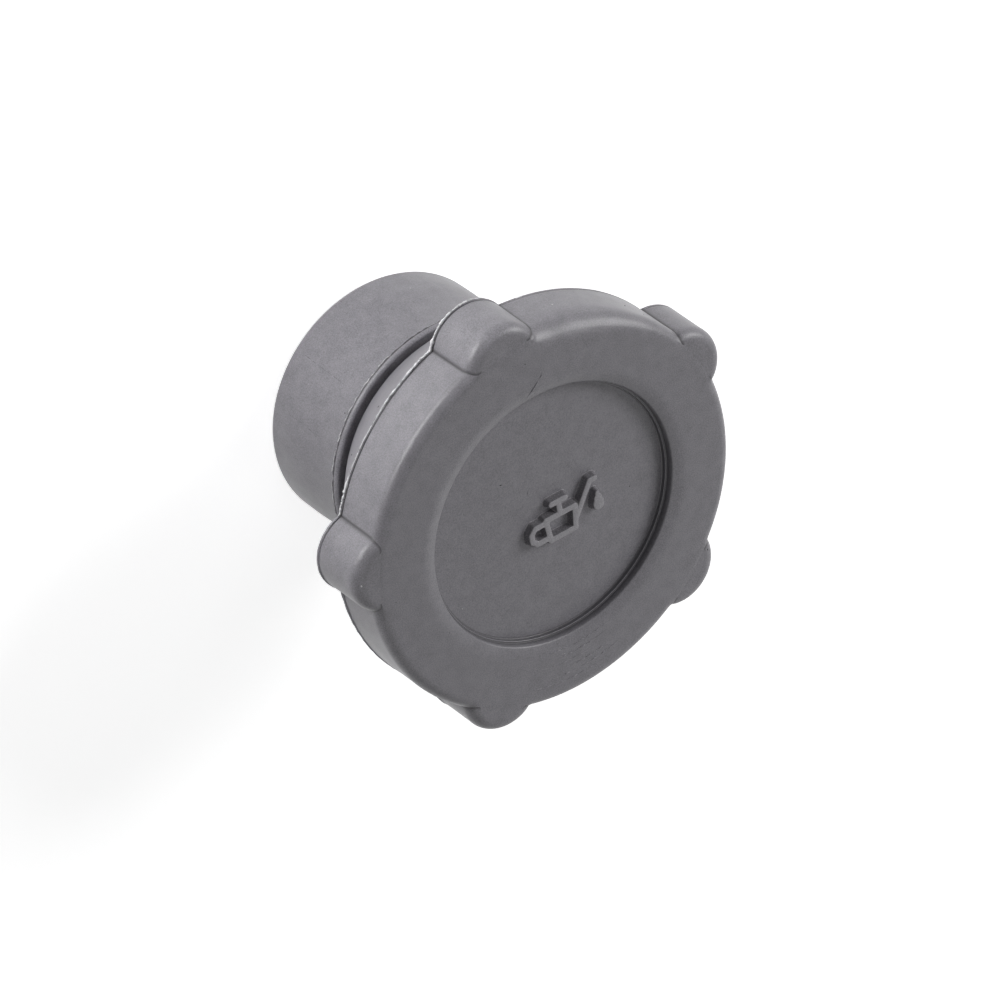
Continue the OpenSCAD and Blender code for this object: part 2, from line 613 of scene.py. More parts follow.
    def place(self, ring: Ring, crease: float) -> tuple[np.ndarray, np.ndarray]:
        """Place the points of one ring.

        Args:
            ring: The ring.
            crease: Angle from a lobe's middle to the crease that the columns follow, in radians.

        Returns:
            Points of the ring in mm, and the painted shade at each.
        """
        s = self.sizes
        part = self.columns()
        reach = np.abs(part)
        half_sector = math.pi / s.lobe_count
        angle = np.where(reach <= 1, reach * crease, crease + (reach - 1) * (half_sector - crease))
        radius = np.full_like(angle, ring.r)
        dark = np.zeros_like(angle)
        if ring.post > 0:
            back = ring.z < s.seam_z + 0.01
            edge = s.outline(angle, max(ring.r, s.head_r + s.seam_reach) if back else ring.r, ring.post)
            radius = ring.r + ring.share * (edge - ring.r)
            # Painted shade in the creases at the lobes' feet
            gap = np.abs(ring.r - s.posts(angle, ring.post))
            dark = self.creased * np.exp(-((gap / self.crease_w) ** 2)) * ring.share
        turns = [math.pi / 2 + k * 2 * half_sector for k in range(s.lobe_count)]
        spread = np.concatenate([np.copysign(angle, part) + turn for turn in turns])
        radius = np.tile(radius, s.lobe_count)
        height = np.full_like(radius, ring.z)
        points = np.stack([radius * np.cos(spread), radius * np.sin(spread), height], axis=1)
        return points, np.maximum(ring.shade * self.kept(ring, points), np.tile(dark, s.lobe_count))

    def kept(self, ring: Ring, points: np.ndarray) -> np.ndarray:
        """Tell how much of a ring's painted shade is left round the cap.

        Args:
            ring: The ring.
            points: Its points, in mm.

        Returns:
            The share that is left at each point, from 0 to 1.
        """
        s = self.sizes
        azimuth = np.degrees(np.arctan2(points[:, 1], points[:, 0]))
        # Over the seam the parting line's painted shade is kept in full in one span of azimuths only
        if 0 < ring.z - s.seam_z - s.seam_t < 0.3:
            return 0.1 + 0.9 * self.parted.share(azimuth)
        # The painted shade on the face's edge is kept in one span of azimuths only
        if ring.z > s.lobe_top - s.edge_round and ring.r > s.roll_r:
            return self.edge_shade_span.share(azimuth)
        return np.ones_like(azimuth)

    def ripple(self, skin: Skin) -> None:
        """Give the face and the side slow waves, as on rubber that shrank in its mould.

        Args:
            skin: The skin; its moved points are changed.
        """
        s = self.sizes
        radius, height, moved = skin.radius, skin.height, skin.moved
        face = smooth_step(s.recess_z - 0.5, s.recess_z, height)
        side = smooth_step(s.groove_top + 2, s.groove_top + 4, height) * (1 - face)
        for i in np.nonzero((face > 0) | (side > 0))[0]:
            place = Vector(skin.drawn[i])
            # Waves of about 9 mm, with weaker ones of about 4 mm
            slow = noise.noise(place / 9.0) + 0.4 * noise.noise(place / 4.0)
            sink = self.wave * (slow - 0.6) / 1.6
            if face[i] > 0:
                moved[i, 2] += sink * face[i]
            moved[i, :2] *= 1 + sink * side[i] / max(radius[i], 1.0)

    def raise_lobes(self, skin: Skin) -> None:
        """Raise the lobes' tops until they are nearly flush with the face, one of them less.

        Args:
            skin: The skin; its moved points are changed.
        """
        s = self.sizes
        azimuth, height = skin.azimuth, skin.height
        level = smooth_step(s.lobe_top - 3.0, s.lobe_top, height)
        level = np.minimum(level, (s.crown_z - height) / s.lobe_drop)
        crease = s.crease_angle(s.head_r, s.lobe_r)
        on_lobe = smooth_step(crease * 1.04, crease * 0.8, s.sector_angle(np.radians(azimuth)))
        raised = self.flush - self.sunk_by * self.sunk.share(azimuth)
        lift = s.lobe_drop * raised * np.maximum(level, 0.0) * on_lobe
        skin.moved[:, 2] += np.where(skin.radius > s.head_r - 2.5, lift, 0.0)

    def round_off(self, skin: Skin) -> None:
        """Give the edge of the face its wider rounding in the one sector that is rubbed most.

        Args:
            skin: The skin; its moved points are changed.
        """
        s = self.sizes
        radius, azimuth, moved = skin.radius, skin.azimuth, skin.moved
        wide = s.edge_round + (self.wide_round - s.edge_round) * self.widest.share(azimuth)
        # The lobes keep their own edges, so the rounding fades in over a few degrees beside each
        apart = np.degrees(s.sector_angle(np.radians(azimuth)))
        inward = smooth_step(0.9, 2.6, s.head_r - radius)
        off_lobe = np.clip((apart - 9.9 + 3.0 * inward) / (1.0 + 3.6 * inward), 0.0, 1.0)
        edge = s.wall_at(s.crown_z - 3.0, s.head_r, s.crown_z) - 0.02
        dr, dz = radius - edge + wide, moved[:, 2] - s.crown_z + wide
        reach = np.hypot(dr, dz)
        hit = (dr > 0) & (dz > 0) & (reach > wide) & (wide > s.edge_round + 0.01)
        pull = np.where(hit, (wide / np.maximum(reach, 0.1) - 1) * off_lobe, 0.0)
        moved[:, :2] *= (1 + dr * pull / np.maximum(radius, 1.0))[:, None]
        moved[:, 2] += dz * pull

    def tear(self, skin: Skin) -> None:
        """Tear bits out of the proud mould seam and nick the lip's lower edge.

        Args:
            skin: The skin; its moved points are changed.
        """
        s = self.sizes
        radius, height, moved = skin.radius, skin.height, skin.moved
        trimmed = self.trimmed.share(skin.azimuth)
        at_seam = np.abs(height - s.seam_z - s.seam_t / 2) < s.seam_t / 2 + 0.005
        at_seam &= radius > s.head_r + 0.02
        at_lip = np.abs(height - s.plug_h - 0.07) < 0.1
        at_lip &= radius > s.lip_r
        for i in np.nonzero(at_seam)[0]:
            place = Vector(skin.drawn[i])
            # Bites of about 1 mm, in stretches of about 5 mm
            torn = 0.4 + 0.4 * noise.noise(place / 0.9) + 0.25 * noise.noise(place / 5.0) + trimmed[i]
            moved[i, :2] *= 1 - s.seam_reach * min(max(torn, 0.0), 1.0) / radius[i]
        for i in np.nonzero(at_lip)[0]:
            place = Vector(skin.drawn[i])
            # Nicks of about 0.7 mm, in stretches of about 3 mm
            nick = 0.5 + 1.2 * noise.noise(place / 0.7) + 0.6 * noise.noise(place / 3.0)
            moved[i, :2] *= 1 - 0.2 * min(max(nick, 0.0), 1.0) / radius[i]

    def build(self) -> bpy.types.Object:
        """Build the closed skin of the body.

        Returns:
            The body's object, with its painted shade kept in the mesh attribute "shade".
        """
        s = self.sizes
        rings = [*self.plug_rings(), *self.head_rings(), *self.face_rings()]
        crease = s.crease_angle(s.head_r, s.lobe_r)
        placed = []
        for ring in rings:
            if ring.post > 0:
                crease = s.crease_angle(max(ring.r, s.wall_at(ring.z, s.head_r, s.crown_z)), ring.post)
            placed.append(self.place(ring, crease))
        count = len(placed[0][0])
        poles = np.array([[0.0, 0.0, rings[0].z], [0.0, 0.0, rings[-1].z]])
        drawn = np.concatenate([points for points, _ in placed] + [poles])
        shade = np.concatenate([dark for _, dark in placed] + [np.zeros(2)])
        skin = Skin(drawn, drawn.copy())
        self.ripple(skin)
        self.raise_lobes(skin)
        self.round_off(skin)
        self.tear(skin)
        faces: list[tuple[int, ...]] = []
        for row in range(len(rings) - 1):
            a, b = row * count, (row + 1) * count
            faces += [(a + k, a + (k + 1) % count, b + (k + 1) % count, b + k) for k in range(count)]
        last = (len(rings) - 1) * count
        low, high = len(drawn) - 2, len(drawn) - 1
        faces += [((k + 1) % count, k, low) for k in range(count)]
        faces += [(last + k, last + (k + 1) % count, high) for k in range(count)]
        return mesh_object("cap_body", skin.moved, faces, {"shade": shade})


# The raised sign


@dataclass(frozen=True)
class Stroke:
    """A straight stroke of the sign between two points, in mm on the sign's own axes."""

    u0: float
    v0: float
    u1: float
    v1: float
    extra: float = 0.0

    def distance(self, u: np.ndarray, v: np.ndarray) -> np.ndarray:
        """Distance to the stroke's middle line, less what it is thicker than the others.

        Args:
            u: Places along the sign's base line.
            v: Places across it.

        Returns:
            Distances in mm.
        """
        du, dv = self.u1 - self.u0, self.v1 - self.v0
        t = ((u - self.u0) * du + (v - self.v0) * dv) / max(du * du + dv * dv, 1e-9)
        t = np.clip(t, 0.0, 1.0)
        return np.hypot(u - self.u0 - t * du, v - self.v0 - t * dv) - self.extra


@dataclass(frozen=True)
class OilSign:
    """A raised picture of an oil can with a drop, on the floor of the recess.

    Attributes:
        floor_z: Height of the recess's floor, in mm.
        place: Where the lower left corner of the sign lies, in mm.
        tilt: How far its base line is turned, in degrees.
        half_top: Half the width of a stroke's top, in mm.
        height: Height of the relief, in mm.
        lean: How far the relief's sides lean out, in mm.
        cell: Cell of the grid on which its outline is traced, in mm.
        painted_wall_shade: Painted shade on its sides.
    """

    floor_z: float
    place: tuple[float, float] = (-5.55, -4.6)
    tilt: float = -7.8
    half_top: float = 0.46
    height: float = 1.15
    lean: float = 0.3
    cell: float = 0.14
    painted_wall_shade: float = 0.45

    def strokes(self) -> list[Stroke]:
        """List the strokes of the can, its spout, its handle, its knob and the drop.

        Returns:
            The strokes, in mm on the sign's own axes.
        """
        base, top, left, right, flare = 0.8, 4.6, 3.7, 8.7, 0.2
        can = [Stroke(left + flare, base, right - flare, base),
               Stroke(right - flare, base, right + flare, top),
               Stroke(left - flare, top, right + flare, top),
               Stroke(left + flare, base, left - flare, top)]
        tip_u, tip_v = 12.1, 7.5
        spout = [Stroke(right, 2.2, tip_u, tip_v), Stroke(tip_u, tip_v, tip_u + 0.9, tip_v)]
        low, high, grip, bend = 1.4, 4.2, 0.7, 0.8
        handle = [Stroke(left, high, grip + bend, high), Stroke(grip + bend, high, grip, high - bend),
                  Stroke(grip, high - bend, grip, low + bend), Stroke(grip, low + bend, grip + bend, low),
                  Stroke(grip + bend, low, left, low)]
        knob_u, knob_half = 6.2, 1.3
        knob = [Stroke(knob_u, top, knob_u, 6.7), Stroke(knob_u - knob_half, 6.9, knob_u + knob_half, 6.9)]
        drop_u = 13.1
        drop = [Stroke(drop_u, 2.7, drop_u, 2.9, 0.5), Stroke(drop_u, 3.2, drop_u, 3.8, 0.25),
                Stroke(drop_u, 3.8, drop_u, 4.7, -0.1)]
        return can + spout + handle + knob + drop

    def levels(self) -> list[tuple[float, float]]:
        """Draw the relief's section, from its foot to its top.

        Returns:
            Distance from the top's edge and height over the floor of each level, in mm.
        """
        lean, high = self.lean, self.height
        return [(lean + 0.14, -0.03), (lean + 0.08, 0.01), (lean + 0.03, 0.07), (lean, 0.16),
                (lean * 0.5, high * 0.5), (0.04, high - 0.14), (0.01, high - 0.06), (-0.03, high - 0.015),
                (-0.09, high)]

    def field(self) -> tuple[np.ndarray, np.ndarray, np.ndarray]:
        """Sample the distance to the sign's edge on a grid.

        Returns:
            Places along the base line, places across it, and the distance at each, outside positive.
        """
        # The grid reaches past the strokes on every side
        u = np.arange(-1.0, 14.6, self.cell)
        v = np.arange(-0.8, 9.4, self.cell)
        grid_u, grid_v = np.meshgrid(u, v, indexing="ij")
        nearest = np.min([stroke.distance(grid_u, grid_v) for stroke in self.strokes()], axis=0)
        return u, v, nearest - self.half_top

    def contour(self, u: np.ndarray, v: np.ndarray, gap: np.ndarray,
                level: float) -> tuple[list[Vector], list[tuple[int, int]]]:
        """Trace where the distance takes a value, cell by cell.

        Args:
            u: Grid places along the base line.
            v: Grid places across it.
            gap: Distance at each grid point.
            level: The value to trace.

        Returns:
            Points of the trace and the edges that join them.
        """
        points: list[Vector] = []
        index: dict[tuple[int, int, int], int] = {}
        edges: list[tuple[int, int]] = []

        def crossing(i: int, j: int, way: int) -> int:
            """Find or make the point where the trace crosses a grid edge.

            Args:
                i: Place of the edge's start along the base line.
                j: Place of its start across it.
                way: 0 where the edge runs along the base line, and 1 where it runs across it.

            Returns:
                Number of the point.
            """
            key = (i, j, way)
            if key not in index:
                a = gap[i, j] - level
                b = gap[i + (way == 0), j + (way == 1)] - level
                step = self.cell * min(max(a / (a - b), 0.02), 0.98)
                points.append(Vector((u[i] + step * (way == 0), v[j] + step * (way == 1))))
                index[key] = len(points) - 1
            return index[key]

        inside = gap < level
        mixed = inside[:-1, :-1].astype(int) + inside[1:, :-1] + inside[:-1, 1:] + inside[1:, 1:]
        for i, j in zip(*np.nonzero((mixed > 0) & (mixed < 4))):
            here, beside, above, across = (i, j), (i + 1, j), (i, j + 1), (i + 1, j + 1)
            sides = [(here, beside, 0), (beside, across, 1), (above, across, 0), (here, above, 1)]
            cut = [crossing(*start, way) for start, end, way in sides if inside[start] != inside[end]]
            edges += [(cut[k], cut[k + 1]) for k in range(0, len(cut) - 1, 2)]
        return points, edges

    def sheet(self, points: list[Vector], edges: list[tuple[int, int]],
              heights: list[float]) -> tuple[np.ndarray, list[tuple[int, ...]]]:
        """Fill traced levels with triangles, and leave out what lies outside the sign.

        Args:
            points: Points of the traces.
            edges: Edges of the traces.
            heights: Height of each point, in mm.

        Returns:
            Points with their heights, and the triangles.
        """
        flat, _, faces, origins, _, _ = geometry.delaunay_2d_cdt(points, edges, [], 0, 1e-5)
        rise = [max((heights[k] for k in origin), default=0.0) for origin in origins]
        corners = np.array([[p.x, p.y, z] for p, z in zip(flat, rise)])
        middles = np.array([corners[list(face), :2].mean(axis=0) for face in faces])
        nearest = np.min([s.distance(middles[:, 0], middles[:, 1]) for s in self.strokes()], axis=0)
        inside = nearest - self.half_top < self.levels()[0][0]
        return corners, [tuple(face) for face, keep in zip(faces, inside) if keep]

    def build(self) -> bpy.types.Object:
        """Build the relief from its traced levels.

        Returns:
            The sign's object, its foot just under the recess floor.
        """
        u, v, gap = self.field()
        points: list[Vector] = []
        edges: list[tuple[int, int]] = []
        heights: list[float] = []
        for level, height in self.levels():
            found, joins = self.contour(u, v, gap, level)
            edges += [(a + len(points), b + len(points)) for a, b in joins]
            points += found
            heights += [height] * len(found)
        top, faces = self.sheet(points, edges, heights)
        foot_level, foot_z = self.levels()[0]
        foot, joins = self.contour(u, v, gap, foot_level)
        under, more = self.sheet(foot, joins, [foot_z] * len(foot))
        flat = np.concatenate([top, under])
        faces += [tuple(k + len(top) for k in face) for face in more]
        turn = math.radians(self.tilt)
        x = self.place[0] + flat[:, 0] * math.cos(turn) - flat[:, 1] * math.sin(turn)
        y = self.place[1] + flat[:, 0] * math.sin(turn) + flat[:, 1] * math.cos(turn)
        # Painted shade on the relief's sides, between its foot and its top
        side = (flat[:, 2] > 0.03) & (flat[:, 2] < self.height - 0.1)
        placed = np.stack([x, y, self.floor_z + flat[:, 2]], axis=1)
        return mesh_object("oil_can_sign", placed, faces, {"shade": np.where(side, self.painted_wall_shade, 0.0)})


# Geometry nodes


def node_group(name: str, sizes: dict[str, float], seed: int) -> bpy.types.NodeTree:
    """Start a geometry tree with a named input for each size and one for the seed.

    Args:
        name: Name of the tree.
        sizes: Input name to default, lengths in metres.
        seed: Default of the seed.

    Returns:
        The tree, with its inputs and its output.
    """
    tree = bpy.data.node_groups.new(name, "GeometryNodeTree")
    tree.interface.new_socket(name="Geometry", in_out="INPUT", socket_type="NodeSocketGeometry")
    for label, value in sizes.items():
        socket = tree.interface.new_socket(name=label, in_out="INPUT", socket_type="NodeSocketFloat")
        socket.default_value = value
    socket = tree.interface.new_socket(name="Seed", in_out="INPUT", socket_type="NodeSocketInt")
    socket.default_value = seed
    tree.interface.new_socket(name="Geometry", in_out="OUTPUT", socket_type="NodeSocketGeometry")
    return tree


def bake(source: bpy.types.Object, tree: bpy.types.NodeTree, values: dict[str, float],
         material: bpy.types.Material) -> bpy.types.Object:
    """Run a geometry tree on an object and keep the result as a plain mesh.

    Args:
        source: Object that the tree starts from; it is removed.
        tree: The geometry tree.
        values: Input name to value, set by the sockets' identifiers.
        material: Material of the result.

    Returns:
        A new object at the origin, named as the source was.
    """
    modifier = source.modifiers.new(tree.name, "NODES")
    modifier.node_group = tree
    for item in tree.interface.items_tree:
        if item.in_out == "INPUT" and item.name in values:
            modifier[item.identifier] = values[item.name]
    name = source.name
    mesh = bpy.data.meshes.new_from_object(source.evaluated_get(bpy.context.evaluated_depsgraph_get()))
    old = source.data
    bpy.data.objects.remove(source)
    bpy.data.meshes.remove(old)
    mesh.name = name
    mesh.materials.clear()
    mesh.materials.append(material)
    made = bpy.data.objects.new(name, mesh)
    bpy.context.scene.collection.objects.link(made)
    return made


@dataclass(frozen=True)
class Run:
    """A stretch of a thin line: the places that it passes, in mm, and its half width at its ends."""

    places: tuple[tuple[float, float, float], ...]
    start: float
    end: float


def seam_run(sizes: CapSizes, first: float, last: float, start: float, end: float) -> Run:
    """Draw a run along the mould seam, with a place every quarter of a degree.

    Args:
        sizes: The cap's sizes.
        first: Azimuth at which it starts, in degrees.
        last: Azimuth at which it ends.
        start: Half width at its start, in mm.
        end: Half width at its end.

    Returns:
        The run.
    """
    count = max(int(abs(last - first) / 0.25), 2)
    angles = np.radians(first + (last - first) * np.arange(count + 1) / count)
    reach = sizes.outline(sizes.sector_angle(angles), sizes.head_r, sizes.lobe_r) + 0.1
    height = sizes.seam_z + sizes.seam_t / 2
    places = tuple((float(r * math.cos(a)), float(r * math.sin(a)), height) for r, a in zip(reach, angles))
    return Run(places, start, end)


def turned_run(r: float, z: float, azimuths: tuple[float, float], width: float,
               end_z: float | None = None) -> Run:
    """Draw a run round the cap's axis, level or slanting.

    Args:
        r: Its radius in mm.
        z: Its height at its start, in mm.
        azimuths: Azimuths of its ends, in degrees.
        width: Half width in mm.
        end_z: Its height at its end, where it slants.

    Returns:
        The run.
    """
    count = 24
    rise = ((z if end_z is None else end_z) - z) / count
    places = []
    for k in range(count + 1):
        a = math.radians(azimuths[0] + (azimuths[1] - azimuths[0]) * k / count)
        places.append((r * math.cos(a), r * math.sin(a), z + rise * k))
    return Run(tuple(places), width, width)


def spot(azimuth: float, r: float, z: float, half: float) -> Run:
    """Draw a single pit as a run hardly longer than wide.

    Args:
        azimuth: Its azimuth in degrees.
        r: Its distance from the axis, in mm.
        z: Its height in mm.
        half: Half its width in mm.

    Returns:
        The run.
    """
    a = math.radians(azimuth)
    x, y = r * math.cos(a), r * math.sin(a)
    return Run(tuple((x + half * k / 3, y, z) for k in range(4)), half, half)


@dataclass(frozen=True)
class SkinLines:
    """Thin ragged lines that lie on the skin, such as torn flash, scratches, nicks and wrinkles.

    Attributes:
        name: Name of the piece.
        runs: The stretches that it has.
        ragged: How far the lines stray from their runs, in mm.
        uneven: Share by which their width varies.
        lift: Height of their middle over the skin, in mm.
        seed: Seed of the noise.
        jags: Jags per millimetre.
        swells: Changes of width per millimetre.
        thinnest: Least half width, in mm.
    """

    name: str
    runs: tuple[Run, ...]
    ragged: float
    uneven: float
    lift: float
    seed: int
    jags: float = 2.6
    swells: float = 1.1
    thinnest: float = 0.006

    def path(self, body: bpy.types.Object) -> bpy.types.Object:
        """Lay the runs on the body's skin as open lines.

        Args:
            body: The body whose skin they follow.

        Returns:
            A mesh of open lines, one for each run.
        """
        points: list[Vector] = []
        edges: list[tuple[int, int]] = []
        thick: list[float] = []
        for run in self.runs:
            for k, place in enumerate(run.places):
                found, near, normal, _ = body.closest_point_on_mesh(Vector(place) * MM)
                points.append(near + normal * self.lift * MM if found else Vector(place) * MM)
                share = k / (len(run.places) - 1)
                taper = min(1.0, 0.3 + 6 * share, 6.3 - 6 * share)
                thick.append((run.start + (run.end - run.start) * share) * taper)
                if k:
                    edges.append((len(points) - 2, len(points) - 1))
        mesh = bpy.data.meshes.new(self.name)
        mesh.from_pydata(points, edges, [])
        mesh.attributes.new("thick", "FLOAT", "POINT").data.foreach_set("value", thick)
        made = bpy.data.objects.new(self.name, mesh)
        bpy.context.scene.collection.objects.link(made)
        return made

    def tree(self, material: bpy.types.Material) -> bpy.types.NodeTree:
        """Make the tree that turns the lines into ragged cords of uneven width.

        Args:
            material: The lines' material.

        Returns:
            The geometry tree.
        """
        sizes = {"Step": 0.1 * MM, "Ragged": self.ragged * MM, "Uneven": self.uneven}
        tree = node_group(self.name, sizes, self.seed)
        given = add_node(tree, "NodeGroupInput")
        seed, uneven = given.outputs["Seed"], given.outputs["Uneven"]
        line = add_node(tree, "GeometryNodeMeshToCurve", {"Mesh": given.outputs["Geometry"]})
        fine = add_node(tree, "GeometryNodeResampleCurve",
                        {"Curve": line.outputs[0], "Length": given.outputs["Step"]}, mode="LENGTH")
        # Jags to the side
        shift = add_node(tree, "ShaderNodeTexNoise", {"W": seed, "Scale": self.jags / MM, "Detail": 3.0},
                         noise_dimensions="4D")
        centred = add_node(tree, "ShaderNodeVectorMath", {0: shift.outputs["Color"], 1: (0.5, 0.5, 0.5)},
                           operation="SUBTRACT")
        moved = add_node(tree, "ShaderNodeVectorMath",
                         {0: centred.outputs[0], "Scale": given.outputs["Ragged"]}, operation="SCALE")
        rough = add_node(tree, "GeometryNodeSetPosition",
                         {"Geometry": fine.outputs[0], "Offset": moved.outputs[0]})
        # Swells and thin places
        swell = add_node(tree, "ShaderNodeTexNoise", {"W": seed, "Scale": self.swells / MM, "Detail": 3.0},
                         noise_dimensions="4D")
        low = add_node(tree, "ShaderNodeMath", {0: 1.0, 1: uneven}, operation="SUBTRACT")
        high = add_node(tree, "ShaderNodeMath", {0: 1.0, 1: uneven}, operation="ADD")
        more = add_node(tree, "ShaderNodeMapRange",
                        {"Value": swell.outputs[0], "From Min": 0.38, "From Max": 0.62,
                         "To Min": low.outputs[0], "To Max": high.outputs[0]})
        thick = add_node(tree, "GeometryNodeInputNamedAttribute", {"Name": "thick"}, data_type="FLOAT")
        wide = add_node(tree, "ShaderNodeMath", {0: thick.outputs[0], 1: more.outputs[0]},
                        operation="MULTIPLY")
        least = add_node(tree, "ShaderNodeMath", {0: wide.outputs[0], 1: self.thinnest},
                         operation="MAXIMUM")
        metres = add_node(tree, "ShaderNodeMath", {0: least.outputs[0], 1: MM}, operation="MULTIPLY")
        ring = add_node(tree, "GeometryNodeCurvePrimitiveCircle", {"Resolution": 6, "Radius": 1.0})
        cord = add_node(tree, "GeometryNodeCurveToMesh",
                        {"Curve": rough.outputs[0], "Profile Curve": ring.outputs[0],
                         "Scale": metres.outputs[0], "Fill Caps": True})
        real = add_node(tree, "GeometryNodeRealizeInstances", {"Geometry": cord.outputs[0]})
        dressed = add_node(tree, "GeometryNodeSetMaterial",
                           {"Geometry": real.outputs[0], "Material": material})
        add_node(tree, "NodeGroupOutput", {"Geometry": dressed.outputs[0]})
        return tree

    def build(self, body: bpy.types.Object, material: bpy.types.Material) -> bpy.types.Object:
        """Build the lines.

        Args:
            body: The body whose skin they follow.
            material: Their material.

        Returns:
            The lines as one object.
        """
        return bake(self.path(body), self.tree(material), {"Ragged": self.ragged * MM}, material)


@dataclass(frozen=True)
class Wear:
    """The marks that moulding and use left on the cap, each as a set of thin lines.

    The azimuths are in degrees. Lines and pits are placed one by one, as on the photographed cap.
    """

    sizes: CapSizes

    def flash(self) -> SkinLines:
        """Draw the flash that was torn off the mould seam by hand.

        Returns:
            The lines along the seam.
        """
        s = self.sizes
        runs = (seam_run(s, 151.5, 145.0, 0.1, 0.23), seam_run(s, 145.3, 139.0, 0.25, 0.08),
                seam_run(s, 139.5, 123.5, 0.06, 0.06), seam_run(s, 124.5, 111.0, 0.07, 0.2),
                seam_run(s, 112.0, 98.0, 0.2, 0.26), seam_run(s, 99.0, 83.5, 0.17, 0.1),
                seam_run(s, 73.6, 71.6, 0.09, 0.05))
        return SkinLines("torn_flash", runs, ragged=0.14, uneven=0.45, lift=0.02, seed=7)

    def nicks(self) -> SkinLines:
        """Draw the pale nicks along the lip's moulding line.

        Returns:
            The lines round the lip.
        """
        s = self.sizes
        spans = ((170, 158), (156, 146), (143.5, 139), (137, 128), (126.5, 124), (121, 112), (110, 104))
        runs = tuple(turned_run(s.lip_r + 0.1, s.plug_h + 0.02, span, 0.032) for span in spans)
        return SkinLines("lip_nicks", runs, ragged=0.14, uneven=1.0, lift=0.0, seed=5)

    def scratches(self) -> SkinLines:
        """Draw the scratches down the plug, and the larger pits that hold grit.

        Returns:
            The lines and pits.
        """
        plug_r, floor = self.sizes.plug_r - 0.35, self.sizes.recess_z
        runs = (turned_run(plug_r, 2.6, (123.0, 123.8), 0.03, 13.7),
                turned_run(plug_r, 4.2, (148.9, 148.6), 0.025, 12.6),
                turned_run(plug_r, 6.9, (147.4, 151.8), 0.025, 12.3),
                turned_run(plug_r, 9.0, (149.4, 150.4), 0.02, 13.2),
                spot(94.6, 35.3, 41.9, 0.17), spot(128.7, 32.5, 36.8, 0.17), spot(134.7, 32.2, 42.6, 0.12),
                spot(94.3, 20.1, 12.1, 0.15), spot(78.5, 5.8, floor, 0.14), spot(153.9, 6.9, floor, 0.12),
                spot(-62.5, 14.4, floor, 0.12))
        return SkinLines("dark_scratches", runs, ragged=0.07, uneven=0.7, lift=-0.015, seed=9)

    def wrinkles(self) -> SkinLines:
        """Draw what the hot rubber kept: an ejector pin's ring, a fold at a lobe's base and fine wrinkles.

        Returns:
            The lines on the face and on the recess's floor.
        """
        s = self.sizes
        pin_x, pin_y, pin_r = -1.49, 4.94, 0.85
        turns = [k * math.pi / 12 for k in range(25)]
        pin = tuple((pin_x + pin_r * math.cos(a), pin_y + pin_r * math.sin(a), s.recess_z) for a in turns)
        fold = ((4.95, 24.85, s.crown_z), (4.57, 24.55, s.crown_z), (2.91, 23.38, s.crown_z),
                (1.9, 22.7, s.crown_z), (1.27, 22.2, s.rim_z))
        runs = [Run(pin, 0.035, 0.035), Run(fold, 0.1, 0.1)]
        for k, (r, turn) in enumerate(((23.6, 0), (24.8, 1), (26.0, -1), (27.1, 2), (28.2, 0), (29.3, -2))):
            first = -112 + 5 * math.sin(2.4 * k)
            last = -88 + 6 * math.sin(1.7 * k + 1)
            runs.append(turned_run(r, s.crown_z, (first + turn, last + turn), 0.085))
        return SkinLines("skin_wrinkles", tuple(runs), ragged=0.2, uneven=0.7, lift=-0.02, seed=4)


@dataclass(frozen=True)
class Specks:
    """Specks that lie on the skin, such as grit and dust, or fill its pits.

    Attributes:
        name: Name of the piece.
        per_square_metre: How many lie on a square metre.
        smallest: Radius of the smallest, in mm.
        largest: Radius of the largest, in mm.
        seed: Seed of their places and sizes.
    """

    name: str
    per_square_metre: float
    smallest: float
    largest: float
    seed: int

    def tree(self, material: bpy.types.Material) -> bpy.types.NodeTree:
        """Make the tree that scatters flat specks over the whole skin.

        Args:
            material: The specks' material.

        Returns:
            The geometry tree.
        """
        sizes = {"Density": self.per_square_metre, "Smallest": self.smallest * MM,
                 "Largest": self.largest * MM}
        tree = node_group(self.name, sizes, self.seed)
        given = add_node(tree, "NodeGroupInput")
        seed = given.outputs["Seed"]
        spread = add_node(tree, "GeometryNodeDistributePointsOnFaces",
                          {"Mesh": given.outputs["Geometry"], "Density": given.outputs["Density"],
                           "Seed": seed}, distribute_method="RANDOM")
        size = add_node(tree, "FunctionNodeRandomValue",
                        {2: given.outputs["Smallest"], 3: given.outputs["Largest"], "Seed": seed},
                        data_type="FLOAT")
        # Each speck is flat, and most are longer than wide
        stretch = add_node(tree, "FunctionNodeRandomValue", {0: (0.6, 0.6, 0.35), 1: (1.5, 1.0, 0.55)},
                           data_type="FLOAT_VECTOR")
        scale = add_node(tree, "ShaderNodeVectorMath", {0: stretch.outputs[0], "Scale": size.outputs[1]},
                         operation="SCALE")
        grain = add_node(tree, "GeometryNodeMeshIcoSphere", {"Radius": 1.0, "Subdivisions": 2})
        placed = add_node(tree, "GeometryNodeInstanceOnPoints",
                          {"Points": spread.outputs["Points"], "Instance": grain.outputs[0],
                           "Rotation": spread.outputs["Rotation"], "Scale": scale.outputs[0]})
        real = add_node(tree, "GeometryNodeRealizeInstances", {"Geometry": placed.outputs[0]})
        smooth = add_node(tree, "GeometryNodeSetShadeSmooth", {"Geometry": real.outputs[0]})
        dressed = add_node(tree, "GeometryNodeSetMaterial",
                           {"Geometry": smooth.outputs[0], "Material": material})
        add_node(tree, "NodeGroupOutput", {"Geometry": dressed.outputs[0]})
        return tree

    def build(self, body: bpy.types.Object, material: bpy.types.Material) -> bpy.types.Object:
        """Scatter the specks over a copy of the body's mesh.

        Args:
            body: The rubber body.
            material: The specks' material.

        Returns:
            The specks as one object.
        """
        copy = bpy.data.objects.new(self.name, body.data.copy())
        bpy.context.scene.collection.objects.link(copy)
        return bake(copy, self.tree(material), {"Density": self.per_square_metre}, material)


# Finishes


